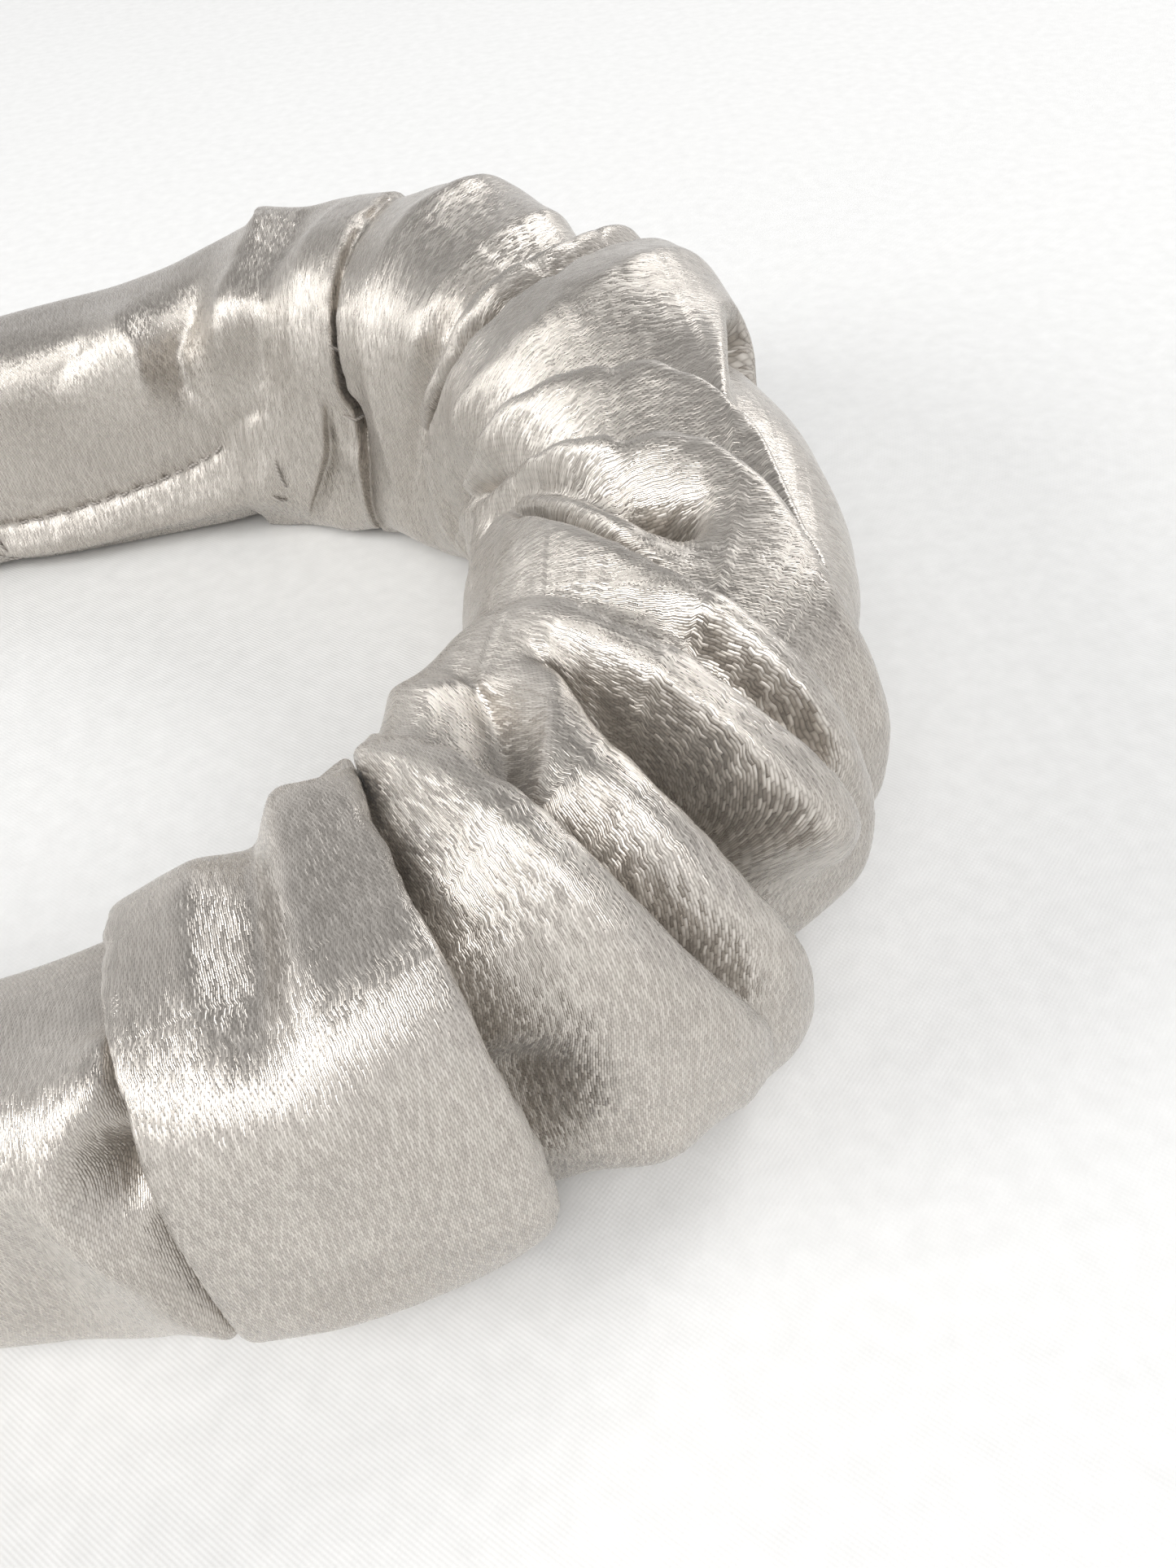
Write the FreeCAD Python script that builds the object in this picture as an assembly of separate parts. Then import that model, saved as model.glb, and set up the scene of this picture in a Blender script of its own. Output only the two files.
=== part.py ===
"""Ruched satin hair band: a U-shaped spring band inside padding and a gathered satin tube, lying on its side.

Frame, in millimetres: +X runs from the tips to the crown, +Y to the wearer's left arm, +Z up across the
band's width. The origin is at the middle of the underside. The band is one springy piece in reality; it is
split at the crown here, where a hinge stands for its bending.
"""
import math
import os

import FreeCAD
import Part

V = FreeCAD.Vector

# ---- driving dimensions ----
CROWN_R = 65.5          # radius of the tube's centreline round the crown
LEG_R = 240.0           # radius of the arms' gentle inward curve
LEG_ARC = 40.0          # length of that curve
COVER_END = 180.0       # half length of the satin tube, measured from the crown
TIP_END = 190.0         # half length of the whole band
CORE_END = 187.5
PAD_END = 150.0         # foam and wadding stop here

CORE_T = 2.0            # spring band thickness
CORE_OFF = -5.0         # its outer face, measured outwards from the centreline
CORE_Z = 18.0           # height of its middle
CORE_W = 24.0
CORE_TIP_W = 10.0
TAPER_START = 125.0     # its edges narrow from here to the tip
TAPE_T = 0.4
FOAM_T = 6.0
CLEAR = 0.2             # gap between nested pieces
SATIN_T = 1.0           # satin layer, with its small folds
HALF_GAP = 0.15         # each half stops this far from the crown plane
SPREAD_DEG = 14.0       # how far the arms open
NOTCH_DEG = SPREAD_DEG / 2 + 0.6

# Cover section stations: distance from the crown, reach towards the head, reach outwards, lowest z, highest z,
# and squareness, where 1 is an ellipse and less is squarer
STATIONS = [
    (0.0, 22.5, 17.0, -1.2, 45.5, 0.75),
    (60.0, 21.5, 17.0, -1.2, 45.5, 0.75),
    (85.0, 18.5, 16.0, -1.2, 43.0, 0.70),
    (103.0, 14.0, 14.0, -1.2, 39.0, 0.62),
    (118.0, 11.0, 12.0, -1.0, 36.0, 0.55),
    (143.0, 9.5, 9.5, -0.6, 34.5, 0.55),
    (160.0, 9.2, 5.0, 3.6, 31.5, 0.60),
    (180.0, 9.0, 0.6, 7.6, 28.6, 0.70),
    (190.0, 8.8, -1.2, 10.4, 25.8, 0.80),
]
SECTION_POINTS = 16
SEAM_FROM, SEAM_TO = 198.0, 212.0   # where the lengthwise seam's allowance sits round the section, degrees
SEAM_AT = 205.0
SEAM_START = 104.0
SEAM_END = 139.0
STITCH_PITCH = 2.4
STITCH_LEN = 1.6
THREAD_R = 0.22
# Hand tacks that hold the gathers: distance from the crown, degrees round the section, length, lean in degrees
TACKS = [(92.0, 188.0, 3.2, 70.0), (93.5, 197.0, 2.6, 40.0), (91.0, 176.0, 2.4, 15.0), (76.0, 196.0, 2.8, 60.0),
         (143.0, 204.0, 3.0, 75.0), (144.5, 214.0, 2.6, 30.0), (142.0, 222.0, 2.6, -30.0), (58.0, 186.0, 2.4, 20.0)]
WHIP_COUNT = 12


def path(s):
    """Centreline point and outward direction at distance s from the crown, for positive or negative s."""
    side = 1.0 if s >= 0 else -1.0
    d = abs(s)
    quarter = CROWN_R * math.pi / 2
    if d <= quarter:
        a = d / CROWN_R
        x, y = CROWN_R * math.cos(a), CROWN_R * math.sin(a)
        nx, ny = math.cos(a), math.sin(a)
    else:
        turn = min(d - quarter, LEG_ARC) / LEG_R
        x, y = -LEG_R * math.sin(turn), CROWN_R - LEG_R * (1 - math.cos(turn))
        nx, ny = -math.sin(turn), math.cos(turn)
        run = max(0.0, d - quarter - LEG_ARC)
        x, y = x - run * ny, y + run * nx
    return V(x, y * side, 0), V(nx, ny * side, 0)


def at(s, out, z):
    """Point at distance s along the band, out millimetres outwards from the centreline, at height z."""
    p, n = path(s)
    return V(p.x + n.x * out, p.y + n.y * out, z)


def section_sizes(s):
    """The station values at distance s, on a smooth curve through the table's rows."""
    d = min(abs(s), STATIONS[-1][0])
    last = len(STATIONS) - 1
    i = max(k for k in range(last) if STATIONS[k][0] <= d)
    a, b = STATIONS[i], STATIONS[i + 1]
    before, after = STATIONS[max(i - 1, 0)], STATIONS[min(i + 2, last)]
    span = b[0] - a[0]
    t = (d - a[0]) / span
    values = []
    for k in range(1, len(a)):
        slope_a = 0.0 if i == 0 else (b[k] - before[k]) / (b[0] - before[0]) * span
        slope_b = (after[k] - a[k]) / (after[0] - a[0]) * span
        values.append((2 * t**3 - 3 * t**2 + 1) * a[k] + (t**3 - 2 * t**2 + t) * slope_a
                      + (3 * t**2 - 2 * t**3) * b[k] + (t**3 - t**2) * slope_b)
    return values


def section_point(s, degrees, inset=0.0):
    """A point on the cover's section at s, degrees round it from the outward side, inset below the surface."""
    inner, outer, low, high, square = section_sizes(s)
    inner, outer, low, high = inner - inset, outer - inset, low + inset, high - inset
    c, k = math.cos(math.radians(degrees)), math.sin(math.radians(degrees))
    out = (outer - inner) / 2 + (outer + inner) / 2 * math.copysign(abs(c) ** square, c)
    z = (high + low) / 2 + (high - low) / 2 * math.copysign(abs(k) ** square, k)
    return at(s, out, z)


def round_wire(s, inset):
    step = 360.0 / SECTION_POINTS
    curve = Part.BSplineCurve()
    points = [section_point(s, i * step, inset) for i in range(SECTION_POINTS)]
    curve.interpolate(Points=points, PeriodicFlag=True)
    return Part.Wire([curve.toShape()])


def polygon_wire(points):
    return Part.makePolygon(points + [points[0]])


def loft(wires):
    return Part.makeLoft(wires, True, False)


def spaced(start, end, step):
    """Distances from start to end, near step apart, both ends included."""
    count = max(1, round((end - start) / step))
    return [start + (end - start) * i / count for i in range(count + 1)]


def plan_line(offset, start, end):
    """Edges of the band's plan line at an offset, as two tangent arcs and a straight run."""
    quarter = CROWN_R * math.pi / 2
    stops = [start] + [s for s in (quarter, quarter + LEG_ARC) if start < s < end] + [end]
    edges = []
    for a, b in zip(stops, stops[1:]):
        ends = [at(a, offset, 0), at(b, offset, 0)]
        if a >= quarter + LEG_ARC:
            edges.append(Part.makeLine(*ends))
        else:
            edges.append(Part.Arc(ends[0], at((a + b) / 2, offset, 0), ends[1]).toShape())
    return edges


def strip(start, end, inner, outer, width):
    """A flat strip that follows the band on edge, from inner to outer of the centreline."""
    edges = plan_line(inner, start, end) + plan_line(outer, start, end)
    edges += [Part.makeLine(at(s, inner, 0), at(s, outer, 0)) for s in (start, end)]
    face = Part.Face(Part.Wire(Part.__sortEdges__(edges)))
    face.translate(V(0, 0, CORE_Z - width / 2))
    return face.extrude(V(0, 0, width))


def taper(shape, grow=0.0):
    """Trims a strip to the spring band's side view: full width, then narrowing to the tip."""
    from_x, tip_x = at(TAPER_START, 0, 0).x, at(CORE_END, 0, 0).x
    full, tip = CORE_W / 2 + grow, CORE_TIP_W / 2 + grow
    corners = [(200, full), (from_x, full), (tip_x, tip), (tip_x - 5, tip)]
    corners += [(x, -z) for x, z in reversed(corners)]
    side = Part.Face(polygon_wire([V(x, -200, CORE_Z + z) for x, z in corners]))
    return shape.common(side.extrude(V(0, 400, 0)))


def tube(start, end, inset):
    """The cover's outer form, or the same form inset from it, from start to end."""
    return loft([round_wire(s, inset) for s in spaced(start, end, 11.0)])


def half_space_cut(shape):
    """Stops a left-hand piece short of the crown plane, with a notch outside the spring for it to bend into."""
    pivot_x = CROWN_R + CORE_OFF
    slab = Part.makeBox(200, 20 + HALF_GAP, 120, V(0, -20, -20))
    far = 60.0
    rise = far * math.tan(math.radians(NOTCH_DEG))
    wedge = Part.Face(polygon_wire([V(pivot_x, HALF_GAP, -20), V(pivot_x + far, HALF_GAP, -20),
                                    V(pivot_x + far, HALF_GAP + rise, -20)])).extrude(V(0, 0, 120))
    return shape.cut(slab).cut(wedge)


def above_table(shape, height=0.0):
    """Flattens the underside at a height above the plane the band lies on."""
    return shape.cut(Part.makeBox(400, 400, 20 + height, V(-200, -200, -20)))


# ---- the pieces of the left half ----
def band_core():
    """Spring band: half of the moulded plastic U."""
    return half_space_cut(taper(strip(-1.0, CORE_END, CORE_OFF - CORE_T, CORE_OFF, CORE_W)))


def adhesive_tape():
    """Double-sided tape that holds the foam to the spring band."""
    return half_space_cut(taper(strip(-1.0, PAD_END - 4, CORE_OFF, CORE_OFF + TAPE_T, CORE_W - 5)))


def foam_pad():
    """Foam strip on the band's outer face."""
    inner = CORE_OFF + TAPE_T
    return half_space_cut(taper(strip(-1.0, PAD_END - 4, inner, inner + FOAM_T, CORE_W - 3), -1.5))


def wadding_roll():
    """Fibre wadding wrapped round the spring band and foam, filling the satin tube."""
    body = tube(-4.0, PAD_END, SATIN_T + CLEAR)
    room = strip(-5.0, PAD_END + 1, CORE_OFF - CORE_T - CLEAR, CORE_OFF + TAPE_T + FOAM_T + CLEAR,
                 CORE_W + 2 * CLEAR)
    body = above_table(body.cut(room).cut(seam_form(SATIN_T - 0.3, 2.1, 2.0)), SATIN_T + CLEAR)
    return half_space_cut(body)


def satin_cover():
    """Half of the gathered satin tube."""
    outside = tube(-4.0, COVER_END, 0.0)
    inside = above_table(tube(-5.0, COVER_END + 1.0, SATIN_T), SATIN_T)
    return half_space_cut(above_table(outside.cut(inside)))


def seam_form(top, bottom, extra):
    """A strip just under the cover's inner face, between two depths, extra degrees wider each side."""
    wires = []
    for s in spaced(SEAM_START - extra, SEAM_END + extra, 9.0):
        a, b = SEAM_FROM - extra, SEAM_TO + extra
        wires.append(polygon_wire([section_point(s, a, top), section_point(s, b, top),
                                   section_point(s, b, bottom), section_point(s, a, bottom)]))
    return loft(wires)


def seam_allowance():
    """Turned-in edges of the satin tube behind its lengthwise seam."""
    return seam_form(SATIN_T + 0.25, SATIN_T + 0.85, 0.0)


def thread(start, end):
    """One straight stitch of sewing thread with blunt ends."""
    run = end.sub(start)
    return Part.makeCylinder(THREAD_R, run.Length, start, run)


def seam_stitches():
    """Machine stitches along the lengthwise seam."""
    lift = -THREAD_R - 0.12
    made = []
    for s in spaced(SEAM_START, SEAM_END, STITCH_PITCH):
        made.append(thread(section_point(s, SEAM_AT, lift), section_point(s + STITCH_LEN, SEAM_AT, lift)))
    return Part.makeCompound(made)


def tack_stitches():
    """Hand tacks that hold the gathers to the spring band."""
    made = []
    for s, degrees, length, lean in TACKS:
        a = math.radians(lean)
        ds, dz = length / 2 * math.cos(a), length / 2 * math.sin(a)
        middle = section_point(s, degrees, -THREAD_R - 0.35)
        ahead = section_point(s + 1, degrees, -THREAD_R - 0.35).sub(middle)
        ahead.normalize()
        step = ahead * ds + V(0, 0, dz)
        made.append(thread(middle.sub(step), middle.add(step)))
    return Part.makeCompound(made)


def tip_cap():
    """Satin end cap that closes the tube over the tip of the spring band."""
    outside = loft([round_wire(s, 0.0) for s in spaced(COVER_END + CLEAR, TIP_END, 3.0)])
    room = taper(strip(COVER_END - 1, CORE_END + CLEAR, CORE_OFF - CORE_T - CLEAR, CORE_OFF + CLEAR,
                       CORE_W), CLEAR)
    return outside.cut(room)


def whip_stitches():
    """Whipping that joins the end cap to the satin tube."""
    made = []
    for i in range(WHIP_COUNT):
        degrees = 360.0 * (i + 0.5) / WHIP_COUNT
        lift = -THREAD_R - 0.45
        made.append(thread(section_point(COVER_END - 1.4, degrees, lift),
                           section_point(COVER_END + 1.5, degrees + 5, lift)))
    return Part.makeCompound(made)


PIECES = {
    "band_core": band_core,
    "adhesive_tape": adhesive_tape,
    "foam_pad": foam_pad,
    "wadding_roll": wadding_roll,
    "satin_cover": satin_cover,
    "seam_allowance": seam_allowance,
    "seam_stitches": seam_stitches,
    "tack_stitches": tack_stitches,
    "tip_cap": tip_cap,
    "whip_stitches": whip_stitches,
}


def main():
    os.makedirs("parts", exist_ok=True)
    built = {}
    for name, make in PIECES.items():
        left = make()
        built[name + "_left"] = left
        built[name + "_right"] = left.mirror(V(0, 0, 0), V(0, 1, 0))
    low = min(shape.BoundBox.XMin for shape in built.values())
    high = max(shape.BoundBox.XMax for shape in built.values())
    for name, shape in built.items():
        shape.translate(V(-(low + high) / 2, 0, 0))
        shape.exportStep(f"parts/{name}.step")
        print(f"{name:24s} solids {len(shape.Solids):3d} valid {shape.isValid()} volume {shape.Volume:10.1f}")
    print(f"centre of the crown circle at x = {-(low + high) / 2:.3f}")


main()
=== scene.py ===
"""Padded ruched hair band lying on its side: gathered champagne satin over wadding on a sprung band.

Lengths in the shape tables are millimetres and become metres when a mesh is made. A place on the cover is
(s, angle): s runs along the band from the crown, positive on the left half, and angle goes round the tube,
0 facing away from the head, 90 up, 180 facing the head and 270 down on the table.
"""
import math

import bmesh
import bpy
import numpy as np
from mathutils import Matrix, Vector


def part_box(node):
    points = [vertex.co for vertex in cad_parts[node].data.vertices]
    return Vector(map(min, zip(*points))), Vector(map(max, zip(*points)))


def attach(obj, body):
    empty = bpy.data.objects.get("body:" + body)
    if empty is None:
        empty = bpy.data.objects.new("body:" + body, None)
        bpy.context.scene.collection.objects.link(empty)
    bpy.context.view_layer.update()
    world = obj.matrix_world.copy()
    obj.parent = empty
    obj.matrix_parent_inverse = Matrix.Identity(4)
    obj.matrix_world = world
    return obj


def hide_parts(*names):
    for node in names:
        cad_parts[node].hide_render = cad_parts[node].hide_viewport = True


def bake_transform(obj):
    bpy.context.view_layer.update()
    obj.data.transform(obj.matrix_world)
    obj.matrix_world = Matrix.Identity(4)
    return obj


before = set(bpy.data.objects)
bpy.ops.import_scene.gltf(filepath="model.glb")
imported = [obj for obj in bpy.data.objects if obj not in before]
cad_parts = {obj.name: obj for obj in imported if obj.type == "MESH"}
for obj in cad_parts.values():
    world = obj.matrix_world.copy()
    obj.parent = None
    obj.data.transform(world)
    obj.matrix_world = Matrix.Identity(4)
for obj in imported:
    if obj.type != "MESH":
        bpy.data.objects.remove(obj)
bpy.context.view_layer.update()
MM = 0.001

CORE_Z = 18.0              # height of the spring band's middle
TUNNEL_IN, TUNNEL_OUT, TUNNEL_HALF = -7.3, 1.8, 12.4      # room for the spring band, tape and foam
CAP_END = 189.9            # outer end of the tip caps
SEAM_START, SEAM_END = 104.0, 139.0      # stitched length of each arm's seam
STITCH_PITCH, STITCH_LEN, THREAD_R = 2.4, 1.6, 0.22
WHIP_COUNT = 12
TACK_LIFT, MM_PER_DEGREE = 0.30, 0.33      # a tack's rise at its middle, and distance round the tube
# Hand tacks on the head side of each half: distance from the crown, angle, length, and lean in degrees
TACKS = [
    (92.0, 188.0, 3.2, 70.0), (93.5, 197.0, 2.6, 40.0), (74.0, 177.0, 3.0, 20.0), (73.0, 152.0, 2.6, 75.0),
    (143.0, 204.0, 3.0, 75.0), (144.5, 214.0, 2.6, 30.0), (142.0, 222.0, 2.6, -30.0),
    (43.0, 174.0, 2.8, 60.0),
]

# ---- the band's plan line and sections, as in the CAD model, in millimetres ----
CROWN_R, LEG_R, LEG_ARC = 65.5, 240.0, 40.0
COVER_END = 180.0
CROWN_FLAT, FLAT_REACH = 7.0, 88.0
# distance from the crown, reach towards the head, reach outwards, lowest z, highest z, squareness
STATIONS = np.array([
    (0.0, 22.5, 17.0, -1.2, 45.5, 0.75),
    (60.0, 21.5, 17.0, -1.2, 45.5, 0.75),
    (85.0, 18.5, 16.0, -1.2, 43.0, 0.70),
    (103.0, 14.0, 14.0, -1.2, 39.0, 0.62),
    (118.0, 11.0, 12.0, -1.0, 36.0, 0.55),
    (143.0, 9.5, 9.5, -0.6, 34.5, 0.55),
    (160.0, 9.2, 5.0, 3.6, 31.5, 0.60),
    (180.0, 9.0, 0.6, 7.6, 28.6, 0.70),
    (190.0, 8.8, -1.2, 10.4, 25.8, 0.80),
])
CROWN_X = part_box("satin_cover_right")[1].x / MM - CROWN_R - STATIONS[0][2]   # centre of the crown's circle


def plan(s):
    """Centreline x, y and outward direction at distances s, in the shared frame."""
    s = np.asarray(s, float)
    side, d, quarter = np.where(s >= 0, 1.0, -1.0), np.abs(s), CROWN_R * math.pi / 2
    a = np.minimum(d, quarter) / CROWN_R
    turn = np.clip(d - quarter, 0, LEG_ARC) / LEG_R
    run = np.maximum(0, d - quarter - LEG_ARC)
    nx = np.where(d > quarter, -np.sin(turn), np.cos(a))
    ny = np.where(d > quarter, np.cos(turn), np.sin(a))
    x = np.where(d > quarter, -LEG_R * np.sin(turn) - run * ny, CROWN_R * np.cos(a))
    y = np.where(d > quarter, CROWN_R - LEG_R * (1 - np.cos(turn)) + run * nx, CROWN_R * np.sin(a))
    return x + CROWN_X - flattening(s), y * side, nx, ny * side


def flattening(s):
    """How far the soft tube sits towards the head at the crown, where the band is flatter than a circle."""
    return CROWN_FLAT * 0.5 * (1 + np.cos(np.pi * np.clip(np.abs(s) / FLAT_REACH, 0, 1)))


def section_sizes(s):
    """The station values at distances s, on a smooth curve through the table's rows."""
    d = np.minimum(np.abs(s), STATIONS[-1, 0])
    i = np.clip(np.searchsorted(STATIONS[:, 0], d, side="right") - 1, 0, len(STATIONS) - 2)
    a, b = STATIONS[i], STATIONS[i + 1]
    before, after = STATIONS[np.maximum(i - 1, 0)], STATIONS[np.minimum(i + 2, len(STATIONS) - 1)]
    span = b[..., :1] - a[..., :1]
    t = (d[..., None] - a[..., :1]) / span
    slope_a = np.where((i == 0)[..., None], 0.0, (b - before) / (b - before)[..., :1] * span)
    slope_b = (after - a) / (after - a)[..., :1] * span
    values = ((2 * t**3 - 3 * t**2 + 1) * a + (t**3 - 2 * t**2 + t) * slope_a
              + (3 * t**2 - 2 * t**3) * b + (t**3 - t**2) * slope_b)
    return [values[..., k] for k in range(1, 6)]


def tube_point(s, degrees, inset=0.0):
    """Points on the plain tube, inset below its surface, in millimetres."""
    s, degrees = np.broadcast_arrays(np.asarray(s, float), np.asarray(degrees, float))
    inner, outer, low, high, square = section_sizes(s)
    inner, outer, low, high = inner - inset, outer - inset, low + inset, high - inset
    c, k = np.cos(np.radians(degrees)), np.sin(np.radians(degrees))
    out = (outer - inner) / 2 + (outer + inner) / 2 * np.sign(c) * np.abs(c) ** square
    z = (high + low) / 2 + (high - low) / 2 * np.sign(k) * np.abs(k) ** square
    x, y, nx, ny = plan(s)
    return np.stack([x + nx * out, y + ny * out, z], -1)


# ---- fold lines of the gathered satin ----
# The satin is a stretched skin that is held up along ridges, held down along valleys, and lapped over
# itself along folds. Keys of LINES are (angle, s, height above the plain tube). Keys of LAPS are (angle, s,
# height of the folded edge, height of the tuck below it, overlap): the fabric on the fold's low-s side laps
# over the other, or the high-s side when the overlap is negative. A line that is not closed fades out at
# its end keys. The places that the photo shows mostly started as points picked on it, which a scratch script
# turned into (angle, s). They were then rounded and moved. Heights and overlaps were set one by one.
LAPS = [
    dict(name="wide_wrap_start", roll=1.2, closed=True, keys=[
        (-150, -106, 0.5, -2.0, -0.4), (-90, -101, 0.0, -1.0, -0.1), (-52, -101, 0.6, -1.8, -0.8),
        (-30, -102, 1.2, -2.6, -1.6), (0, -102, 1.7, -3.4, -2.6), (22, -102, 1.9, -4.8, -2.8),
        (44, -102, 2.0, -5.0, -2.8), (60, -102, 2.1, -3.4, -2.4), (75, -102.5, 2.2, -1.8, -1.8),
        (95, -104, 2.2, -1.0, -1.2), (130, -105, 1.6, -0.8, -0.8), (180, -107, 1.0, -2.0, -0.8)]),
    dict(name="wide_wrap_end", roll=1.6, closed=True, keys=[
        (-150, -74, 0.8, -2.2, 0.2), (-90, -80, 0.4, -1.4, 0.1), (-50, -80.5, 1.6, -3.4, 0.6),
        (-25, -79.5, 2.4, -5.6, 1.6), (-4, -78.5, 2.8, -7.0, 2.6), (12, -79, 3.0, -7.0, 3.0),
        (36, -80, 3.0, -4.6, 2.8), (67, -80, 2.8, -2.4, 2.0), (81, -80, 2.4, -2.4, 1.8),
        (94, -79, 1.8, -2.0, 1.6), (123, -76.5, 1.2, -1.4, 1.0), (150, -75, 1.2, -1.4, 0.8),
        (180, -74, 0.8, -1.5, 0.3)]),
    dict(name="second_fold", roll=2.2, closed=False, keys=[
        (124, -73.5, 2.4, 1.4, 0.0), (107, -72.0, 3.4, 0.2, 0.3), (93, -70.0, 4.2, -1.8, 0.7),
        (78, -69.2, 4.5, -2.4, 1.0), (55, -68.0, 4.7, -1.8, 1.1), (36, -66.4, 4.8, -1.4, 1.1),
        (24, -64.8, 5.0, -0.8, 0.9), (14, -63.2, 5.1, 0.6, 0.6), (5, -61.6, 5.2, 3.0, 0.2),
        (-6, -60.6, 5.0, 4.4, 0.0), (-20, -59.6, 4.6, 4.0, 0.0)]),
    dict(name="mouth", roll=1.8, closed=False, keys=[
        (97, -56.0, 3.6, 2.8, 0.0), (90, -57.5, 3.6, -1.6, 0.2), (80, -60.4, 3.4, -6.4, 0.8),
        (62, -60.8, 3.4, -9.0, 1.4), (36, -59.6, 3.6, -9.6, 1.6), (20, -57.8, 4.0, -9.4, 1.6),
        (8, -56.4, 4.6, -8.6, 1.4), (-4, -55.0, 5.0, -7.6, 1.0), (-25, -53.4, 4.6, -6.2, 0.6),
        (-50, -51, 2.6, -4.6, 0.3), (-75, -48, 1.2, -2.8, 0.1), (-95, -46, 0.0, -1.2, 0.0),
        (-125, -46, 0.0, 0.0, 0.0)]),
    dict(name="mouth_roll", roll=2.4, closed=False, keys=[
        (150, -50, 2.6, 1.2, 0.0), (124, -50.5, 3.6, 0.2, 0.3), (110, -50, 4.2, -0.8, 0.6),
        (95, -50.4, 5.4, -1.8, 1.0), (80, -50.8, 5.8, -2.2, 1.2), (60, -51, 5.8, -2.6, 1.3),
        (40, -49.8, 5.8, -2.8, 1.2), (25, -48, 5.4, -2.0, 0.8), (14, -45.6, 4.4, 0.2, 0.3),
        (4, -43.5, 2.8, 1.2, 0.0)]),
    dict(name="diagonal_edge", roll=1.6, closed=False, keys=[
        (152, -9, 2.6, 1.6, 0.0), (140, -14.5, 3.6, 0.8, 0.5), (126, -25, 4.2, -0.8, 1.1),
        (108, -34, 4.4, -2.0, 1.7), (94, -38, 4.4, -2.6, 1.9), (77, -42, 4.4, -2.8, 2.1),
        (55, -42.6, 4.2, -3.2, 2.1), (40, -42.6, 4.0, -3.4, 1.9), (28, -42, 3.8, -3.4, 1.6),
        (10, -40, 3.2, -3.2, 1.2), (-20, -37, 2.2, -2.8, 0.8), (-60, -34, 1.0, -2.4, 0.2),
        (-100, -33, 0.0, -1.0, 0.0), (-125, -33, 0.0, 0.0, 0.0)]),
    dict(name="first_arc", roll=1.8, closed=False, keys=[
        (190, 30, 1.6, 0.8, 0.0), (178, 22, 2.4, -1.0, 0.3), (147, -5, 3.8, -2.8, 1.0),
        (120, -14, 4.6, -3.4, 1.3), (99, -18, 5.0, -3.4, 1.5), (86, -18.5, 5.0, -3.6, 1.5),
        (70, -24, 4.8, -4.0, 1.4), (57, -28.5, 4.4, -4.2, 1.2), (45, -32, 3.8, -4.2, 1.0),
        (15, -32, 2.6, -4.0, 0.8), (-25, -28, 1.6, -3.4, 0.3), (-70, -24, 0.6, -2.0, 0.0),
        (-100, -22, 0.0, 0.0, 0.0)]),
    dict(name="second_arc", roll=2.0, closed=False, keys=[
        (196, 36, 1.2, 0.2, 0.0), (185, 31, 2.0, -1.6, 0.3), (164, 13, 3.4, -3.2, 1.0),
        (139, 4, 4.4, -4.0, 1.5), (116, 1, 5.2, -4.2, 1.8), (99, 0, 5.4, -4.2, 1.8),
        (90, -2, 5.4, -4.2, 1.7), (80, -7, 5.2, -4.0, 1.5), (69, -13, 4.8, -3.8, 1.4),
        (62, -20, 4.2, -3.4, 1.0), (52, -26, 3.2, 0.0, 0.3), (44, -28, 2.4, 1.0, 0.0)]),
    dict(name="outer_split", closed=False, keys=[
        (77, -9, 2.0, 1.4, 0.0), (73, -5, 2.8, -1.2, -0.4), (68, 3, 3.4, -2.4, -0.8),
        (57, 13, 4.0, -3.0, -0.9), (40, 18, 3.0, -3.4, -0.9), (0, 16, 1.8, -3.4, -0.6),
        (-60, 14, 0.8, -2.8, -0.2), (-110, 15, 0.0, -1.2, 0.0), (-140, 16, 0.0, 0.0, 0.0)]),
    dict(name="slit", roll=1.8, closed=True, keys=[
        (176, 42, 2.0, -1.6, 0.3), (160, 36, 2.8, -3.4, 0.9), (147, 30.5, 3.6, -4.6, 1.5),
        (129, 26.5, 4.2, -4.8, 1.9), (114, 25, 4.8, -4.4, 1.9), (101, 25, 5.2, -3.8, 1.6),
        (85, 27, 5.2, -3.2, 1.1), (55, 30, 4.4, -3.2, 0.8), (0, 33, 2.2, -3.2, 0.4),
        (-40, 34, 1.2, -2.8, 0.1), (-90, 36, 0.2, -1.8, 0.1), (-150, 40, 0.6, -1.8, 0.1)]),
    dict(name="deep_crease", closed=True, keys=[
        (-140, 75, 0.6, -0.6, 0.0), (-60, 75, 1.2, -0.6, 0.0), (0, 75, 1.8, 0.0, 0.0),
        (45, 74, 2.4, 1.0, 0.0), (72, 72.5, 3.0, 1.8, -0.1), (99, 71.5, 3.0, 1.0, -0.3),
        (118, 72, 2.6, -0.2, -0.5), (141, 72.6, 2.2, -1.4, -0.7), (158, 73.2, 1.8, -2.6, -0.8),
        (172, 74, 1.2, -3.8, -0.6), (188, 73, 0.6, -2.6, -0.2)]),
    dict(name="tack_fold", closed=False, keys=[
        (172, 78, 0.6, 0.0, 0.0), (180, 80, 1.4, -0.8, -0.5), (190, 84, 1.6, -1.2, -0.7),
        (204, 88, 1.2, -0.6, -0.4), (220, 91, 0.6, 0.2, 0.0)]),
    dict(name="arm_end_outer", closed=False, keys=[
        (80, 92, 2.0, 1.6, 0.0), (66, 94, 1.8, 0.6, 0.3), (40, 97, 1.6, -2.2, 1.4), (0, 99, 1.4, -2.8, 1.9),
        (-60, 100, 0.8, -2.4, 1.4), (-150, 101, 0.2, -1.4, 0.3), (-170, 101, 0.0, 0.0, 0.0)]),
]
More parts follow.
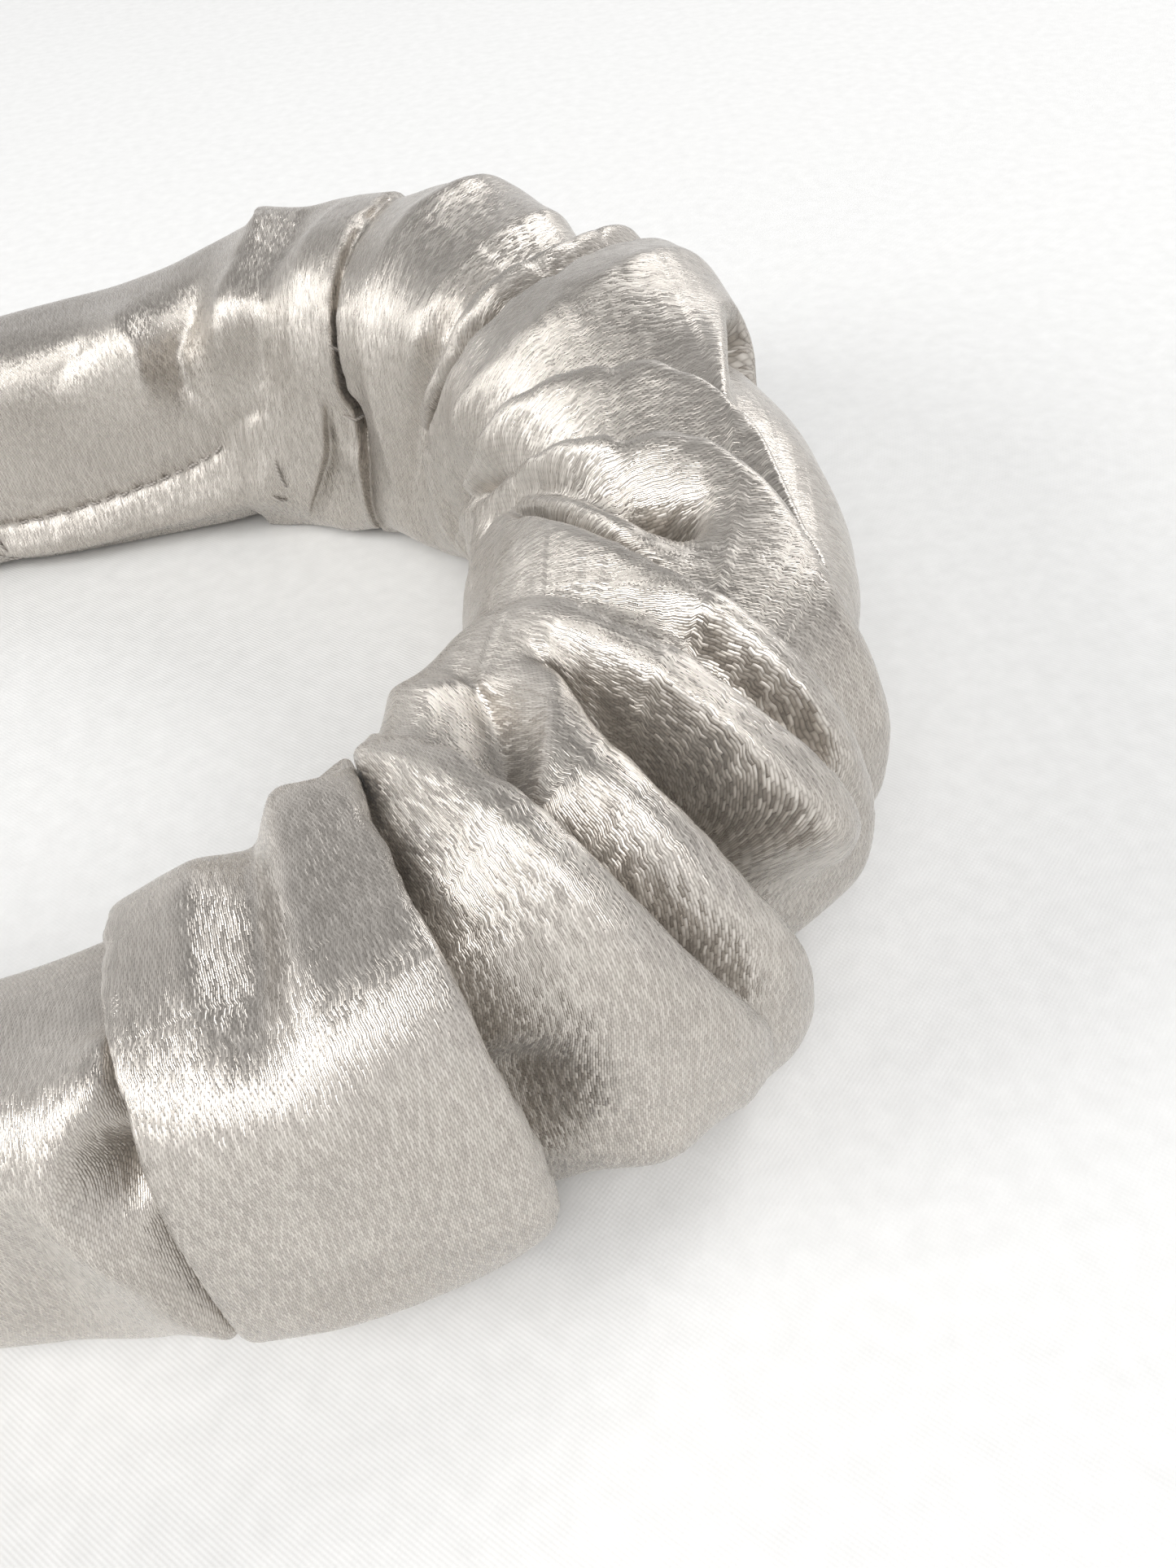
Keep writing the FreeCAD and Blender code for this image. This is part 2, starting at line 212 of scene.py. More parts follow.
LINES = [
    dict(name="wrap_hollow", closed=False, keys=[
        (58, -93, 2.0), (72, -92.4, 1.2), (86, -91.8, 0.0), (100, -91.4, -0.8), (118, -91, -1.0),
        (135, -90.6, -0.6), (150, -90, 0.6)]),
    dict(name="wrap_ridge_near", closed=False, keys=[
        (60, -96, 2.4), (78, -96, 2.8), (90, -96, 3.0), (104, -96, 2.8), (120, -95.4, 2.0),
        (138, -95, 1.4), (155, -95, 1.0)]),
    dict(name="wrap_ridge_far", closed=False, keys=[
        (35, -88, 2.8), (60, -88.6, 3.0), (80, -88.6, 3.0), (92, -88, 3.0), (105, -87, 2.8),
        (122, -86, 2.6), (137, -84.6, 2.2), (155, -83, 1.4)]),
    dict(name="dimple_rim", closed=False, keys=[
        (108, -82, 2.0), (118, -81.6, 2.2), (125, -81.2, 2.4), (131, -81.0, 2.2), (135, -80.8, 1.8)]),
    dict(name="droop_ridge", closed=False, keys=[
        (84, -105, 1.4), (70, -105.5, 1.8), (52, -108.2, 2.0), (36, -109.4, 2.2), (19, -108.6, 2.2),
        (5, -107, 2.0), (-10, -104.5, 1.8), (-22, -104, 1.4)]),
    dict(name="droop_pocket", closed=False, keys=[
        (58, -104.6, 0.0), (48, -105.0, -3.4), (38, -105.2, -4.4), (28, -105.0, -3.0), (18, -104.6, -0.5)]),
    dict(name="droop_side", closed=False, keys=[
        (34, -112, 0.8), (20, -112.6, -0.6), (0, -114.5, -1.6), (-20, -117.5, -1.4), (-50, -121, 0.0)]),
    dict(name="pillar", closed=False, keys=[
        (97, -53.5, 4.2), (93.5, -56, 4.6), (90, -59.5, 4.4), (86, -63, 3.8), (80, -66.2, 2.4),
        (75, -68.2, 0.6)]),
    dict(name="pillar_hollow", closed=False, keys=[
        (118, -60, 2.2), (108, -61.5, -0.2), (99, -63.6, -2.0), (92, -66.4, -3.2), (86, -68.8, -3.6)]),
    dict(name="head_bulge", closed=False, keys=[
        (106, -60, 2.8), (116, -64, 3.4), (126, -65.5, 3.6), (140, -64.5, 3.6), (158, -62, 3.0),
        (178, -60, 2.2)]),
    dict(name="mouth_floor", closed=False, keys=[
        (86, -56.4, -2.4), (78, -57.8, -6.4), (62, -57.6, -8.4), (40, -56.4, -9.0), (20, -54.6, -8.6),
        (2, -52.2, -7.4), (-22, -50.2, -5.6), (-48, -47.6, -3.6), (-75, -45, -1.6), (-95, -44, 0.0)]),
    dict(name="facet_hollow", closed=False, keys=[
        (104, -44.5, 0.6), (88, -45.5, 0.4), (70, -46.6, 0.0), (50, -46.4, -0.4), (34, -45.6, 0.2)]),
    dict(name="dimple_roll", closed=False, keys=[
        (142, -13, 3.0), (132, -18, 3.8), (120, -23, 4.0), (108, -27.6, 3.8), (98, -31.4, 3.6),
        (92, -33.4, 3.0), (87, -34.0, 2.0)]),
    dict(name="dimple_groove", closed=False, keys=[
        (136, -12, 1.6), (124, -17, 0.8), (112, -21.6, 0.2), (102, -25.4, -1.0), (95, -27.4, -2.4),
        (91, -28.2, -2.6), (88, -28.6, -1.0)]),
    dict(name="lobe_crest", closed=False, keys=[
        (150, 20, 3.4), (130, 16, 4.6), (112, 15, 5.4), (96, 16, 6.0), (82, 19, 6.4), (70, 22, 6.2),
        (52, 24, 5.0), (25, 26, 3.6)]),
    dict(name="slit_ridge", closed=False, keys=[
        (166, 42, 2.4), (150, 37, 3.4), (135, 33, 4.0), (115, 30.8, 4.6), (98, 31.6, 5.2), (84, 33, 5.2),
        (60, 36, 4.0), (30, 38, 2.4), (-20, 40, 0.8)]),
    dict(name="band_valley", closed=False, keys=[
        (-60, 47, -1.6), (0, 46, -1.8), (50, 43, -0.8), (74, 40, 0.4), (96, 40.6, -0.6), (120, 40.4, -1.2),
        (140, 43, -1.8), (160, 47.5, -2.2), (178, 54, -2.0), (196, 58, 0.0)]),
    dict(name="band_ridge", closed=False, keys=[
        (40, 50, 2.0), (72, 46, 3.4), (96, 45.4, 3.2), (120, 45.4, 2.6), (140, 47.6, 2.0), (158, 52, 1.4)]),
    dict(name="peak_ridge", closed=False, keys=[
        (40, 60, 3.0), (60, 58.5, 4.6), (72, 57.5, 5.8), (85, 58, 6.4), (95, 59.5, 6.0), (110, 61, 4.8),
        (130, 62, 3.8), (150, 62, 3.0), (170, 62, 2.2), (190, 61, 0.8)]),
    dict(name="crease_roll", closed=False, keys=[
        (80, 68.5, 2.2), (96, 68.4, 2.4), (115, 69.0, 2.6), (135, 69.6, 2.6), (152, 70.2, 2.2),
        (168, 71, 1.0)]),
    dict(name="arm_crest", closed=False, keys=[
        (50, 79, 2.0), (74, 78.5, 3.0), (96, 78.5, 3.4), (120, 80, 3.2), (142, 82, 2.8), (162, 83, 1.8)]),
    dict(name="arm_hollow", closed=False, keys=[
        (70, 86, 0.6), (90, 86.4, -0.2), (112, 88, -0.6), (135, 90, -0.8), (158, 92, -0.6),
        (172, 94, 0.0)]),
    dict(name="arm_ridge", closed=False, keys=[
        (40, 92, 1.2), (64, 91.5, 2.6), (82, 91.8, 3.4), (102, 93.2, 2.6), (121, 96, 2.0), (144, 98, 1.4),
        (160, 99, 0.6)]),
    dict(name="buckle_valley", closed=False, keys=[
        (92, 103, 0.0), (104, 103, -1.6), (121, 104.5, -2.8), (144, 107, -3.2), (164, 107, -2.6),
        (178, 105, -0.6)]),
    dict(name="buckle_ridge", closed=False, keys=[
        (98, 113, 0.6), (114, 113.5, 2.0), (132, 112, 2.6), (150, 111.6, 2.2), (166, 112, 1.0)]),
    dict(name="arm_valley", closed=False, keys=[
        (112, 120, 0.0), (124, 121, -0.8), (140, 124, -0.9), (156, 126, -0.2)]),
]
# The tacked pinch at the end of each arm's seam, the same on both sides
for pinch_side in (1, -1):
    pinch = [(160, 141.5, 0.0), (180, 141.5, -0.6), (200, 142, -1.2), (225, 142, -1.5), (260, 143, -1.2),
             (300, 143, 0.0)]
    LINES.append(dict(name="pinch", closed=False, keys=[(a, pinch_side * s, rise) for a, s, rise in pinch]))
# Swellings and pits: (s, angle, half length along s, half length round, height), millimetres and degrees
BUMPS = [
    (-28.3, 92, 1.7, 1.9, -7.0),      # dimple inside the rolled fold at the crown
    (-80.8, 128, 1.9, 2.2, -5.0),     # dimple at the top of the wide wrap
    (-12.0, 176, 26.0, 13.0, 2.0),    # stuffing pushed to the head side at the crown
    (74.5, 177, 1.8, 2.0, -2.0),      # tacked pinch
    (43.0, 176, 1.4, 1.8, -1.6),
    (-69.5, -14, 4.0, 6.0, 2.6),      # lobe between the wide wrap and the second fold, low on the outside
    (-75.5, 6, 2.6, 4.4, -3.0),       # pocket beside it
]
SEAM_ANGLE = [(92, 173), (100, 178), (106, 182), (118, 187), (130, 191), (141, 194)]     # s and angle
SEAM_DEPTH, SEAM_WIDTH = 1.2, 0.75
ROLL_HEIGHT, ROLL_WIDTH, ROLL_BELOW = 2.1, 2.9, 4.6

REST_HEIGHT = 2.8          # of the padded satin between the folds, above the plain tube
ARM_HEIGHT = 0.2           # of the satin along the smooth arms
SKIN_STEP = 0.4            # spacing along s of the stretched skin's grid
SKIN_REACH, SHIFT_REACH = 13.0, 3.2      # how far a held line is felt, in height and in sideways shift
ROLL_RISE, ROLL_HOLD = 0.15, 0.05      # a folded edge's rounding, and how firmly it is kept
FOLD_GAP = 1.0             # fabric between a folded edge and its tuck
HOLD = 40.0                # how firmly the lines hold the skin
SKIN_ROUNDS, OVER_RELAX = 190, 1.78
TABLE_GAP, TABLE_SOFT = 0.02, 0.35      # clearance over the table, and how gently the underside flattens
PAD_END = 150.0            # how far the wadding reaches from the crown
BROAD = 6.0                # swellings longer than this shape the resting skin, shorter ones the settled one
TRACE_STEP, TRACE_SOFT = 0.12, 3.0      # degrees between points of a fold line, and its smoothing
FILL_BELOW = 1.4           # from the satin's deepest creases to the wadding
ROUND_COUNT = 300          # mesh points round the tube
FINE_STEP = 0.12           # spacing of the first pass along the band
ALONG_STEP = 0.42          # spacing of the mesh rows, along the folded fabric
PERIMETER = 118.0          # of the tube at the crown


def wrap_angle(a):
    """The same angle, between -180 and 180 degrees."""
    return (a + 180.0) % 360.0 - 180.0


def trace(line):
    """Closely spaced angles along a fold line with its other key columns there, and how firmly it holds."""
    keys = np.array(sorted(line["keys"]), float)
    keys[:, 0] = wrap_angle(keys[:, 0] - keys[0, 0]) % 360.0 + keys[0, 0]
    keys = keys[np.argsort(keys[:, 0])]
    grip = np.ones(len(keys))
    if line["closed"]:
        keys = np.vstack([keys, keys[0] + np.eye(1, keys.shape[1])[0] * 360.0])
        grip = np.ones(len(keys))
    else:
        gaps = np.diff(np.append(keys[:, 0], keys[0, 0] + 360.0))
        first = (int(np.argmax(gaps)) + 1) % len(keys)
        keys = np.vstack([keys[first:], keys[:first] + np.eye(1, keys.shape[1])[0] * 360.0])
        grip[[0, -1]] = 0.0
    angles = np.arange(keys[0, 0], keys[-1, 0], TRACE_STEP)
    reach, edges = 60, "wrap" if line["closed"] else "edge"
    kernel = np.exp(-(np.arange(-reach, reach + 1) * TRACE_STEP / TRACE_SOFT) ** 2)
    kernel /= kernel.sum()
    columns = []
    for column in range(1, keys.shape[1]):
        raw = np.interp(angles, keys[:, 0], keys[:, column])
        columns.append(np.convolve(np.pad(raw, reach, mode=edges), kernel, "valid"))
    return angles, columns, np.interp(angles, keys[:, 0], grip)


class Skin:
    """A stretched skin over the unrolled tube, held along lines."""

    def __init__(self, s, count, rest, reach):
        self.s, self.count, self.rest = s, count, rest
        self.slack = (SKIN_STEP / reach) ** 2
        self.pull, self.hold = np.zeros(rest.shape), np.zeros(rest.shape)

    def hold_line(self, at_s, ring, value, grip):
        """Pins the skin to a value along a line, shared between the grid points round each place."""
        row = (at_s - self.s[0]) / SKIN_STEP
        for rows, row_share in ((np.floor(row), 1 - row % 1), (np.floor(row) + 1, row % 1)):
            for rings, ring_share in ((np.floor(ring), 1 - ring % 1), (np.floor(ring) + 1, ring % 1)):
                spot = (np.clip(rows, 0, len(self.s) - 1).astype(int), rings.astype(int) % self.count)
                share = row_share * ring_share * grip
                np.add.at(self.pull, spot, share * value)
                np.add.at(self.hold, spot, share)

    def settle(self):
        """The skin at rest: red-black sweeps towards the mean of each point's neighbours and its pins."""
        firm = np.minimum(self.hold, 1.0) * HOLD
        pull = self.pull / np.maximum(self.hold, 1e-9) * firm + self.slack * self.rest
        total = 4 + self.slack + firm
        field = self.rest.copy()
        checks = (np.indices(field.shape).sum(0) % 2).astype(float)
        for step in range(2 * SKIN_ROUNDS):
            near = np.roll(field, 1, axis=1) + np.roll(field, -1, axis=1)
            near[1:-1] += field[2:] + field[:-2]
            near[0] += 2 * field[1]
            near[-1] += 2 * field[-2]
            part = checks if step % 2 else 1 - checks
            field += OVER_RELAX * part * ((near + pull) / total - field)
        return field


def even_angles(count):
    """Angles that stand evenly round a typical section of the tube."""
    dense = np.linspace(0, 360, 7201)
    ring = tube_point(60.0, dense)
    run = np.concatenate([[0], np.cumsum(np.linalg.norm(np.diff(ring, axis=0), axis=1))])
    return np.interp(np.arange(count) / count * run[-1], run, dense)


def smooth_step(a, b, x):
    """Rises smoothly from 0 at a to 1 at b, or falls when b is below a."""
    t = np.clip((x - a) / (b - a), 0, 1)
    return t * t * (3 - 2 * t)


def even_round(field, rounds=3):
    """Softens steps from one column to the next round the tube."""
    for _ in range(rounds):
        field = (np.roll(field, 1, axis=1) + 2 * field + np.roll(field, -1, axis=1)) / 4
    return field


def swellings(S, A, broad):
    """Heights of the broad swellings, or of the small swellings and pits."""
    total = np.zeros(np.broadcast(S, A).shape)
    for at_s, angle, along, around, rise in BUMPS:
        ds, da = (S - at_s) / along, wrap_angle(A - angle) * PERIMETER / 360.0 / around
        if (along > BROAD) == broad:
            total += rise * np.exp(-(ds * ds + da * da))
    return total


def fold_fields(s, angles):
    """Height above the plain tube and shift along the band, for a grid of s by angle."""
    coarse = np.arange(s[0], s[-1] + SKIN_STEP / 2, SKIN_STEP)
    S, A = coarse[:, None], angles[None, :]
    ring_of = np.interp(np.arange(0, 361), np.append(angles, 360), np.arange(len(angles) + 1))
    gathered = smooth_step(-116, -104, S) * smooth_step(104, 90, S)
    rest = np.repeat(ARM_HEIGHT + (REST_HEIGHT - ARM_HEIGHT) * gathered, len(angles), axis=1)
    rest += swellings(S, A, True)
    heights = Skin(coarse, len(angles), rest, SKIN_REACH)
    shifts = Skin(coarse, len(angles), np.zeros(rest.shape), SHIFT_REACH)
    for line in LINES:
        at, (at_s, height), grip = trace(line)
        heights.hold_line(at_s, np.interp(at % 360, np.arange(361), ring_of), height, grip)
    for lap in LAPS:
        at, (at_s, top, under, overlap), grip = trace(lap)
        ring = np.interp(at % 360, np.arange(361), ring_of)
        toward = np.where(overlap < 0, -1.0, 1.0)
        edge_s, tuck_s = at_s - toward * FOLD_GAP / 2, at_s + toward * FOLD_GAP / 2
        heights.hold_line(edge_s, ring, top, grip)
        heights.hold_line(tuck_s, ring, under, grip)
        shifts.hold_line(edge_s, ring, toward * FOLD_GAP / 2, grip)
        shifts.hold_line(tuck_s, ring, -overlap - toward * FOLD_GAP / 2, grip)
        if "roll" in lap:
            heights.hold_line(edge_s - toward * lap["roll"], ring, top + ROLL_RISE, grip * ROLL_HOLD)
    height, shift = even_round(heights.settle()), even_round(shifts.settle())
    height += swellings(S, A, False)
    fine_height, fine_shift = np.empty((len(s), len(angles))), np.empty((len(s), len(angles)))
    for j in range(len(angles)):
        fine_height[:, j] = np.interp(s, coarse, height[:, j])
        fine_shift[:, j] = np.interp(s, coarse, shift[:, j])
    return fine_height, fine_shift


def seam_field(s, angles):
    """The groove of the lengthwise seam on the head side of each arm, and the soft roll below it."""
    keys = np.array(SEAM_ANGLE, float)
    S, A = np.abs(s)[:, None], angles[None, :]
    line = np.interp(S, keys[:, 0], keys[:, 1])
    run = smooth_step(91, 97, S) * (1 - smooth_step(141, 146, S))
    d = wrap_angle(A - line) * 0.27
    pucker = 1 + 0.35 * np.sin(S * 2.1) * np.sin(S * 0.77 + 1.0)
    groove = -SEAM_DEPTH * pucker * np.exp(-np.abs(d) / SEAM_WIDTH)
    roll = ROLL_HEIGHT * np.exp(-((d - ROLL_BELOW) / ROLL_WIDTH) ** 2)
    return run * (groove + roll)


def soft_noise(s, angles, seed):
    """Gentle unevenness of the stuffing and fine slack in the satin: sums of a few seeded waves."""
    rng = np.random.default_rng(seed)
    S, A = s[:, None], np.radians(angles)[None, :]
    total = np.zeros((len(s), len(angles)))
    for _ in range(26):
        turns = rng.integers(1, 7)
        waves = rng.uniform(0.03, 0.30) * rng.choice([-1, 1])
        size = 0.26 / (1 + 8 * abs(waves))
        total += size * np.sin(S * waves + A * turns + rng.uniform(0, 2 * math.pi))
    for _ in range(30):
        turns = rng.integers(2, 9)
        waves = rng.uniform(0.35, 1.0) * rng.choice([-1, 1])
        total += 0.010 * np.sin(S * waves + A * turns + rng.uniform(0, 2 * math.pi))
    return total


def head_side_gathers(s, angles, seed):
    """Small crowded gathers on the head side, where the same fabric has a shorter way round."""
    rng = np.random.default_rng(seed)
    S, A = s[:, None], angles[None, :]
    total = np.zeros((len(s), len(angles)))
    place = -100.0
    while place < 40.0:
        centre, spread = rng.uniform(178, 205), rng.uniform(24, 36)
        lean = rng.uniform(-0.05, 0.05)
        d = (S - place - lean * (A - 190)) * 0.75
        total -= rng.uniform(0.6, 1.5) * np.exp(-np.abs(d) / 1.5) * np.exp(-((A - centre) / spread) ** 2)
        place += rng.uniform(5.0, 9.0)
    return total


def folded_cover():
    """The cover as rows along the band by points round it, with its weave and the wadding's shape."""
    angles = even_angles(ROUND_COUNT)
    s = np.arange(-COVER_END, COVER_END + FINE_STEP / 2, FINE_STEP)
    base = tube_point(s[:, None], angles[None, :])
    along = np.gradient(base, axis=0)
    wrapped = np.concatenate([base[:, -1:], base, base[:, :1]], axis=1)
    around = (wrapped[:, 2:] - wrapped[:, :-2]) / 2
    normal = np.cross(along, around)
    normal /= np.linalg.norm(normal, axis=2, keepdims=True)
    height, shift = fold_fields(s, angles)
    height = height + seam_field(s, angles)
    calm = 0.35 + 0.65 * smooth_step(112, 95, np.abs(s))[:, None]
    height += soft_noise(s, angles, 7) * calm + head_side_gathers(s, angles, 11)
    placed = np.empty_like(base)
    moved = s[:, None] + shift
    for j in range(len(angles)):
        for k in range(3):
            spot = np.interp(moved[:, j], s, base[:, j, k])
            placed[:, j, k] = spot + np.interp(moved[:, j], s, normal[:, j, k]) * height[:, j]
    lengths = np.linalg.norm(np.diff(placed, axis=0), axis=2)
    run = np.concatenate([np.zeros((1, len(angles))), np.cumsum(lengths, axis=0)])
    rows = int(run[-1].mean() / ALONG_STEP)
    cover, places = np.empty((rows, len(angles), 3)), np.empty((rows, len(angles)))
    for j in range(len(angles)):
        even = np.linspace(0, run[-1, j], rows)
        places[:, j] = np.interp(even, run[:, j], s)
        for k in range(3):
            cover[:, j, k] = np.interp(even, run[:, j], placed[:, j, k])
    cover = relax(cover, 4)
    cover[:, :, 2] = TABLE_GAP + TABLE_SOFT * np.logaddexp(0, cover[:, :, 2] / TABLE_SOFT)
    filling = inner_fill(s, base, normal, height)
    fabric = np.interp(places, s, run.mean(axis=1))      # distance along the cloth at each point's s
    return cover, places, angles, fabric, filling


def inner_fill(s, base, normal, height):
    """Surface of the fibre wadding: it follows the satin loosely from below, deep under every crease."""
    every = int(round(0.8 / FINE_STEP))
    keep = np.abs(s[::every]) <= PAD_END
    low = height[::every].copy()
    for _ in range(7):
        low[1:-1] = np.minimum(low[1:-1], np.minimum(low[:-2], low[2:]))
        low = np.minimum(low, np.minimum(np.roll(low, 1, axis=1), np.roll(low, -1, axis=1)))
    for _ in range(12):
        low[1:-1] = (low[:-2] + 2 * low[1:-1] + low[2:]) / 4
        low = (np.roll(low, 1, axis=1) + 2 * low + np.roll(low, -1, axis=1)) / 4
    loose = base[::every] + normal[::every] * (low - FILL_BELOW)[:, :, None]
    loose = loose[keep][:, ::3]
    rng = np.random.default_rng(23)
    loose += rng.normal(0, 0.10, loose.shape)
    loose[:, :, 2] = np.maximum(loose[:, :, 2], 1.2)
    return loose


def relax(grid, rounds):
    """Evens out small steps in a grid that closes round its second side."""
    for _ in range(rounds):
        ring = (np.roll(grid, 1, axis=1) + np.roll(grid, -1, axis=1)) / 2
        rows = grid.copy()
        rows[1:-1] = (grid[:-2] + grid[2:]) / 2
        grid = grid * 0.5 + (ring + rows) * 0.25
    return grid


def grid_mesh(name, grid, uv=None, close_ends=False):
    """A tube mesh from rows by points round, in millimetres, with UVs in metres along and round."""
    rows, count = grid.shape[:2]
    verts = grid.reshape(-1, 3) * MM
    i, j = np.meshgrid(np.arange(rows - 1), np.arange(count), indexing="ij")
    a, b = i * count + j, i * count + (j + 1) % count
    faces = np.stack([a, a + count, b + count, b], -1).reshape(-1, 4)
    mesh = bpy.data.meshes.new(name)
    extra = []
    if close_ends:
        centres = [grid[0].mean(0) * MM, grid[-1].mean(0) * MM]
        verts = np.vstack([verts, centres])
        first, last = rows * count, rows * count + 1
        ring = np.arange(count)
        nxt = (ring + 1) % count
        extra = [(first, int(r), int(n)) for r, n in zip(ring, nxt)]
        end = (rows - 1) * count
        extra += [(last, int(n) + end, int(r) + end) for r, n in zip(ring, nxt)]
    mesh.from_pydata(verts.tolist(), [], faces.tolist() + extra)
    if uv is not None:
        layer = mesh.uv_layers.new(name="weave")
        corners = np.zeros((len(mesh.loops), 2), np.float32)
        us, vs = uv
        us, nxt = np.broadcast_to(us, (rows, count)), (j + 1) % count
        quad_u = np.stack([us[i, j], us[i + 1, j], us[i + 1, nxt], us[i, nxt]], -1).reshape(-1)
        quad_v = np.stack([vs[j], vs[j], vs[j + 1], vs[j + 1]], -1).reshape(-1)
        corners[:len(quad_u), 0], corners[:len(quad_u), 1] = quad_u, quad_v
        layer.data.foreach_set("uv", corners.ravel())
    mesh.update()
    mesh.validate()
    return smooth_piece(name, mesh)


def smooth_piece(name, mesh):
    """An object in the scene from a mesh, shaded smooth."""
    mesh.polygons.foreach_set("use_smooth", [True] * len(mesh.polygons))
    piece = bpy.data.objects.new(name, mesh)
    bpy.context.scene.collection.objects.link(piece)
    return piece


# ---- materials ----
class Nodes:
    """Short calls for building one material's node tree."""

    def __init__(self, name):
        self.material = bpy.data.materials.new(name)
        self.material.use_nodes = True
        self.tree = self.material.node_tree
        self.shader = self.tree.nodes["Principled BSDF"]

    def add(self, kind, **sockets):
        node = self.tree.nodes.new(kind)
        for key, value in sockets.items():
            self.feed(node.inputs[key.replace("_", " ")], value)
        return node

    def feed(self, socket, value):
        if isinstance(value, bpy.types.NodeSocket):
            self.tree.links.new(value, socket)
        else:
            socket.default_value = value

    def math(self, operation, a, b=0.0, c=0.0):
        node = self.tree.nodes.new("ShaderNodeMath")
        node.operation = operation
        for socket, value in zip(node.inputs, (a, b, c)):
            self.feed(socket, value)
        return node.outputs[0]

    def vector(self, operation, a, b=(0, 0, 0), scale=1.0):
        node = self.tree.nodes.new("ShaderNodeVectorMath")
        node.operation = operation
        self.feed(node.inputs[0], a)
        self.feed(node.inputs[1], b)
        node.inputs[3].default_value = scale
        return node.outputs[0]

    def ramp(self, value, stops):
        node = self.tree.nodes.new("ShaderNodeValToRGB")
        self.feed(node.inputs[0], value)
        elements = node.color_ramp.elements
        while len(elements) < len(stops):
            elements.new(0.5)
        for element, (place, colour) in zip(elements, stops):
            element.position, element.color = place, (*colour, 1.0)
        return node.outputs[0]

    def noise(self, vector, scale, detail=2.0, roughness=0.5):
        node = self.add("ShaderNodeTexNoise", Scale=scale, Detail=detail, Roughness=roughness)
        if vector is not None:
            self.feed(node.inputs["Vector"], vector)
        return node.outputs["Fac"]

    def bump(self, height, distance, strength=1.0, normal=None):
        node = self.add("ShaderNodeBump", Height=height, Distance=distance, Strength=strength)
        if normal is not None:
            self.feed(node.inputs["Normal"], normal)
        return node.outputs["Normal"]

    def set(self, **sockets):
        for key, value in sockets.items():
            self.feed(self.shader.inputs[key.replace("_", " ")], value)


FLOAT_TILT = 0.25          # how unevenly the floats lie
# The first colour is painted shade for the gaps between floats, where the float profile is low; the other
# two span the floats' own random tone.
SATIN_GAP_SHADE, SATIN_DARK, SATIN_LIGHT = (0.28, 0.256, 0.230), (0.54, 0.503, 0.459), (0.81, 0.769, 0.716)
FLOAT_PITCH, FLOAT_LENGTH = 0.15 * MM, 0.85 * MM


def satin():
    """Champagne satin: long floats round the tube in a stepped lattice, with a strong stretched gloss."""
    n = Nodes("champagne_satin")
    uv = n.add("ShaderNodeUVMap")
    uv.uv_map = "weave"
    split = n.add("ShaderNodeSeparateXYZ", Vector=uv.outputs[0])
    across, along = split.outputs[0], split.outputs[1]
    wander = n.noise(uv.outputs[0], 260.0, 2.0)
    across = n.math("MULTIPLY_ADD", wander, 0.15 * MM, across)
    column = n.math("DIVIDE", across, FLOAT_PITCH)
    column_id = n.math("FLOOR", column)
    column_at = n.math("ABSOLUTE", n.math("SUBTRACT", n.math("FRACT", column), 0.5))
    row = n.math("ADD", n.math("DIVIDE", along, FLOAT_LENGTH), n.math("MULTIPLY", column_id, 0.4))
    row_id = n.math("FLOOR", row)
    row_at = n.math("ABSOLUTE", n.math("SUBTRACT", n.math("FRACT", row), 0.5))
    cross = n.math("SUBTRACT", 1.0, n.math("MULTIPLY", n.math("MULTIPLY", column_at, column_at), 3.6))
    length = n.math("SUBTRACT", 1.0, n.math("MULTIPLY", n.math("POWER", row_at, 4.0), 14.0))
    thread = n.math("MULTIPLY", cross, length)
    cell = n.add("ShaderNodeCombineXYZ", X=column_id, Y=row_id)
    chance = n.add("ShaderNodeTexWhiteNoise")
    chance.noise_dimensions = "2D"
    n.feed(chance.inputs["Vector"], cell.outputs[0])
    normal = n.bump(thread, 0.022 * MM, 0.8)
    stretched = n.add("ShaderNodeMapping", Vector=uv.outputs[0])
    stretched.inputs["Scale"].default_value = (1.0, 0.3, 1.0)
    slack = n.noise(stretched.outputs[0], 330.0, 2.0, 0.5)
    normal = n.bump(slack, 0.12 * MM, 0.2, normal)
    centred = n.vector("SUBTRACT", chance.outputs["Color"], (0.5, 0.5, 0.5))
    normal = n.vector("NORMALIZE", n.vector("ADD", normal, n.vector("SCALE", centred, scale=FLOAT_TILT)))
    broad = n.noise(uv.outputs[0], 90.0, 2.0)
    tone_and_gap_shade = n.math("MULTIPLY_ADD", chance.outputs[0], 0.30, n.math("MULTIPLY", broad, 0.25))
    # The float profile adds painted shade: the colour darkens towards the gaps between floats, on top of
    # each float's random tone and the broad tone.
    tone_and_gap_shade = n.math("MULTIPLY_ADD", thread, 0.45, tone_and_gap_shade)
    colour = n.ramp(tone_and_gap_shade, [(0.10, SATIN_GAP_SHADE), (0.62, SATIN_DARK), (1.0, SATIN_LIGHT)])
    rough = n.math("MULTIPLY_ADD", chance.outputs[0], 0.12, 0.24)
    tangent = n.add("ShaderNodeTangent")
    tangent.direction_type = "UV_MAP"
    tangent.uv_map = "weave"
    n.set(Base_Color=colour, Roughness=rough, Metallic=0.8, Normal=normal, Tangent=tangent.outputs[0])
    n.set(Anisotropic=0.6, Anisotropic_Rotation=0.25, Sheen_Weight=0.12, Sheen_Roughness=0.35)
    return n.material


def plain(name, dark, light, rough, grain, depth, sheen=0.0):
    """A matt material with mottled colour and a grainy surface."""
    n = Nodes(name)
    coords = n.add("ShaderNodeTexCoord").outputs["Object"]
    fine = n.noise(coords, grain, 4.0, 0.6)
    n.set(Base_Color=n.ramp(fine, [(0.3, dark), (0.7, light)]), Roughness=rough, Sheen_Weight=sheen)
    n.set(Normal=n.bump(fine, depth, 0.7))
    return n.material


